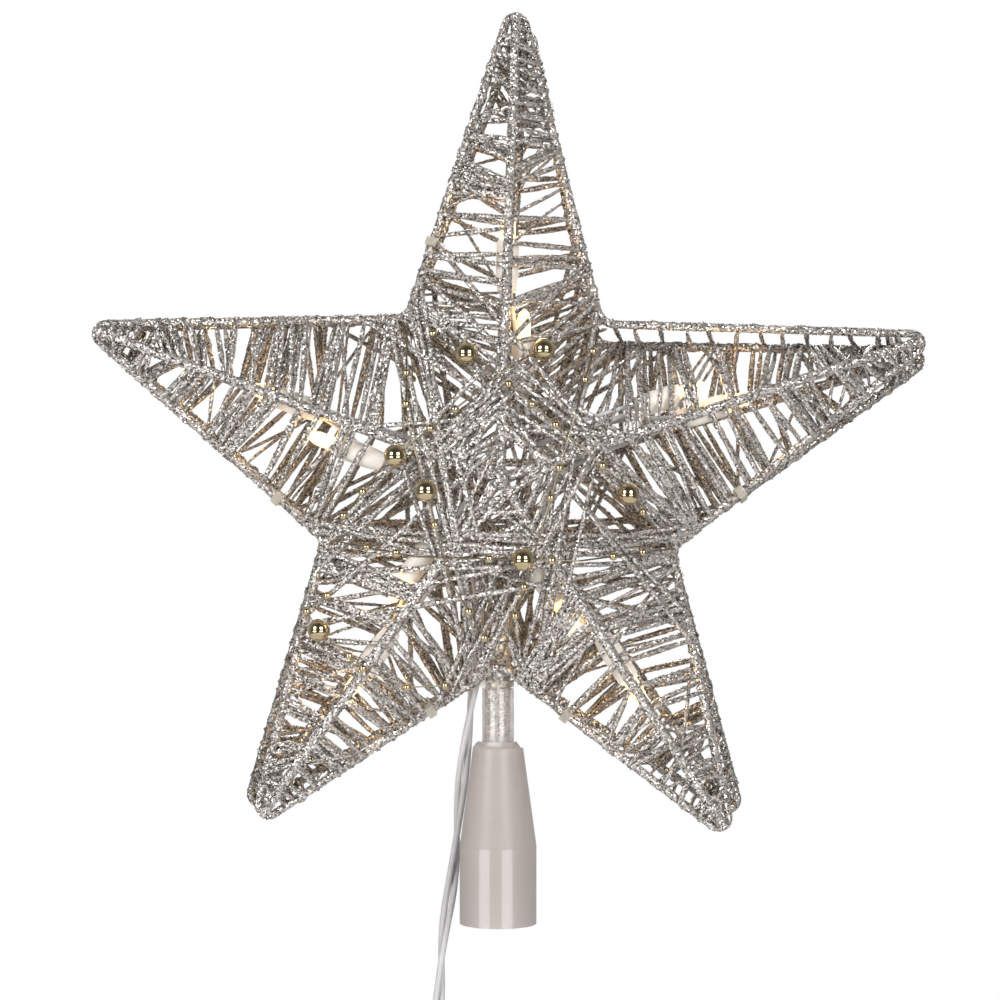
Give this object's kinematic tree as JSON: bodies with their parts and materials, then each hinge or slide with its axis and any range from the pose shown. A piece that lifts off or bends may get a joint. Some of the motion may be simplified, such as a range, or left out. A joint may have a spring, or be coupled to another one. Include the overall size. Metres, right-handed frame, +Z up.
{
  "type": "christmas tree topper star",
  "caption": "Lighted wire star wound with silver glitter yarn, trimmed with gold beads, on a frosted push-on cone that holds it upright on a tree's tip.",
  "frame": {"origin": "middle of the cone base's open mouth, where the tree's tip goes in", "axes": "+Z up along the cone and the stem, +X to the right seen from the front, +Y away from the viewer"},
  "size_m": [0.2992, 0.086, 0.5056],
  "materials": {
    "glitter_wire": "silver glitter over steel wire",
    "glitter_yarn": "silver glitter yarn",
    "glitter_stem": "silver glitter coat",
    "frosted_plastic": "frosted translucent",
    "gold_bead": "gold plated",
    "gold_wire": "bright",
    "white_husk": "translucent white",
    "warm_bulb": "lit warm white",
    "white_lead": "satin insulation",
    "clear_tie": "natural nylon",
    "plug_white": "moulded satin",
    "plug_brass": "bright",
    "fuse_glass": "clear"
  },
  "bodies": {
    "base": {"cone_base": "frosted_plastic"},
    "star": {"front_outline": "glitter_wire", "front_hub": "glitter_wire", "front_ridge_lower_left": "glitter_wire", "front_ridge_left": "glitter_wire", "front_ridge_top": "glitter_wire", "front_ridge_right": "glitter_wire", "front_ridge_lower_right": "glitter_wire", "front_middle_winding": "glitter_yarn", "front_garland_wire": "gold_wire", "back_outline": "glitter_wire", "back_hub": "glitter_wire", "back_ridge_lower_left": "glitter_wire", "back_ridge_left": "glitter_wire", "back_ridge_top": "glitter_wire", "back_ridge_right": "glitter_wire", "back_ridge_lower_right": "glitter_wire", "back_middle_winding": "glitter_yarn", "back_garland_wire": "gold_wire", "winding_lower_left": "glitter_yarn", "husk_lower_left_outer": "white_husk", "husk_lower_left_inner": "white_husk", "winding_left": "glitter_yarn", "husk_left_outer": "white_husk", "husk_left_inner": "white_husk", "winding_top": "glitter_yarn", "husk_top_outer": "white_husk", "husk_top_inner": "white_husk", "winding_right": "glitter_yarn", "husk_right_outer": "white_husk", "husk_right_inner": "white_husk", "winding_lower_right": "glitter_yarn", "husk_lower_right_outer": "white_husk", "husk_lower_right_inner": "white_husk", "stem": "glitter_stem", "small_beads": "gold_bead", "large_beads": "gold_bead", "lamp_leads": "white_lead", "cable_ties": "clear_tie", "stem_tie": "clear_tie", "cord": "white_lead", "cord_coil": "white_lead", "coil_tie": "clear_tie", "plug_body": "plug_white", "plug_blades": "plug_brass", "plug_fuses": "fuse_glass"},
    "bulb_lower_left_outer": {"bulb_lower_left_outer": "warm_bulb"},
    "bulb_lower_left_inner": {"bulb_lower_left_inner": "warm_bulb"},
    "bulb_left_outer": {"bulb_left_outer": "warm_bulb"},
    "bulb_left_inner": {"bulb_left_inner": "warm_bulb"},
    "bulb_top_outer": {"bulb_top_outer": "warm_bulb"},
    "bulb_top_inner": {"bulb_top_inner": "warm_bulb"},
    "bulb_right_outer": {"bulb_right_outer": "warm_bulb"},
    "bulb_right_inner": {"bulb_right_inner": "warm_bulb"},
    "bulb_lower_right_outer": {"bulb_lower_right_outer": "warm_bulb"},
    "bulb_lower_right_inner": {"bulb_lower_right_inner": "warm_bulb"},
    "fuse_door": {"fuse_door": "plug_white"}
  },
  "joints": [
    {"name": "star_swivel", "type": "hinge", "parent": "base", "child": "star", "pos_m": [0, 0, 0.0755], "axis": [0, 0, 1], "continuous": true},
    {"name": "bulb_lower_left_outer_pull", "type": "slide", "parent": "star", "child": "bulb_lower_left_outer", "axis": [-0.5707, 0.1568, -0.806], "range_m": [0, 0.0065]},
    {"name": "bulb_lower_left_inner_pull", "type": "slide", "parent": "star", "child": "bulb_lower_left_inner", "axis": [-0.5707, 0.1568, -0.806], "range_m": [0, 0.0065]},
    {"name": "bulb_left_outer_pull", "type": "slide", "parent": "star", "child": "bulb_left_outer", "axis": [-0.9279, 0.1497, 0.3414], "range_m": [0, 0.0065]},
    {"name": "bulb_left_inner_pull", "type": "slide", "parent": "star", "child": "bulb_left_inner", "axis": [-0.9279, 0.1497, 0.3414], "range_m": [0, 0.0065]},
    {"name": "bulb_top_outer_pull", "type": "slide", "parent": "star", "child": "bulb_top_outer", "axis": [0.0346, 0.1389, 0.9897], "range_m": [0, 0.0065]},
    {"name": "bulb_top_inner_pull", "type": "slide", "parent": "star", "child": "bulb_top_inner", "axis": [0.0346, 0.1389, 0.9897], "range_m": [0, 0.0065]},
    {"name": "bulb_right_outer_pull", "type": "slide", "parent": "star", "child": "bulb_right_outer", "axis": [0.9399, 0.1452, 0.309], "range_m": [0, 0.0065]},
    {"name": "bulb_right_inner_pull", "type": "slide", "parent": "star", "child": "bulb_right_inner", "axis": [0.9399, 0.1452, 0.309], "range_m": [0, 0.0065]},
    {"name": "bulb_lower_right_outer_pull", "type": "slide", "parent": "star", "child": "bulb_lower_right_outer", "axis": [0.5351, 0.1555, -0.8303], "range_m": [0, 0.0065]},
    {"name": "bulb_lower_right_inner_pull", "type": "slide", "parent": "star", "child": "bulb_lower_right_inner", "axis": [0.5351, 0.1555, -0.8303], "range_m": [0, 0.0065]},
    {"name": "fuse_door_slide", "type": "slide", "parent": "star", "child": "fuse_door", "axis": [0, 0, -1], "range_m": [0, 0.006]}
  ]
}
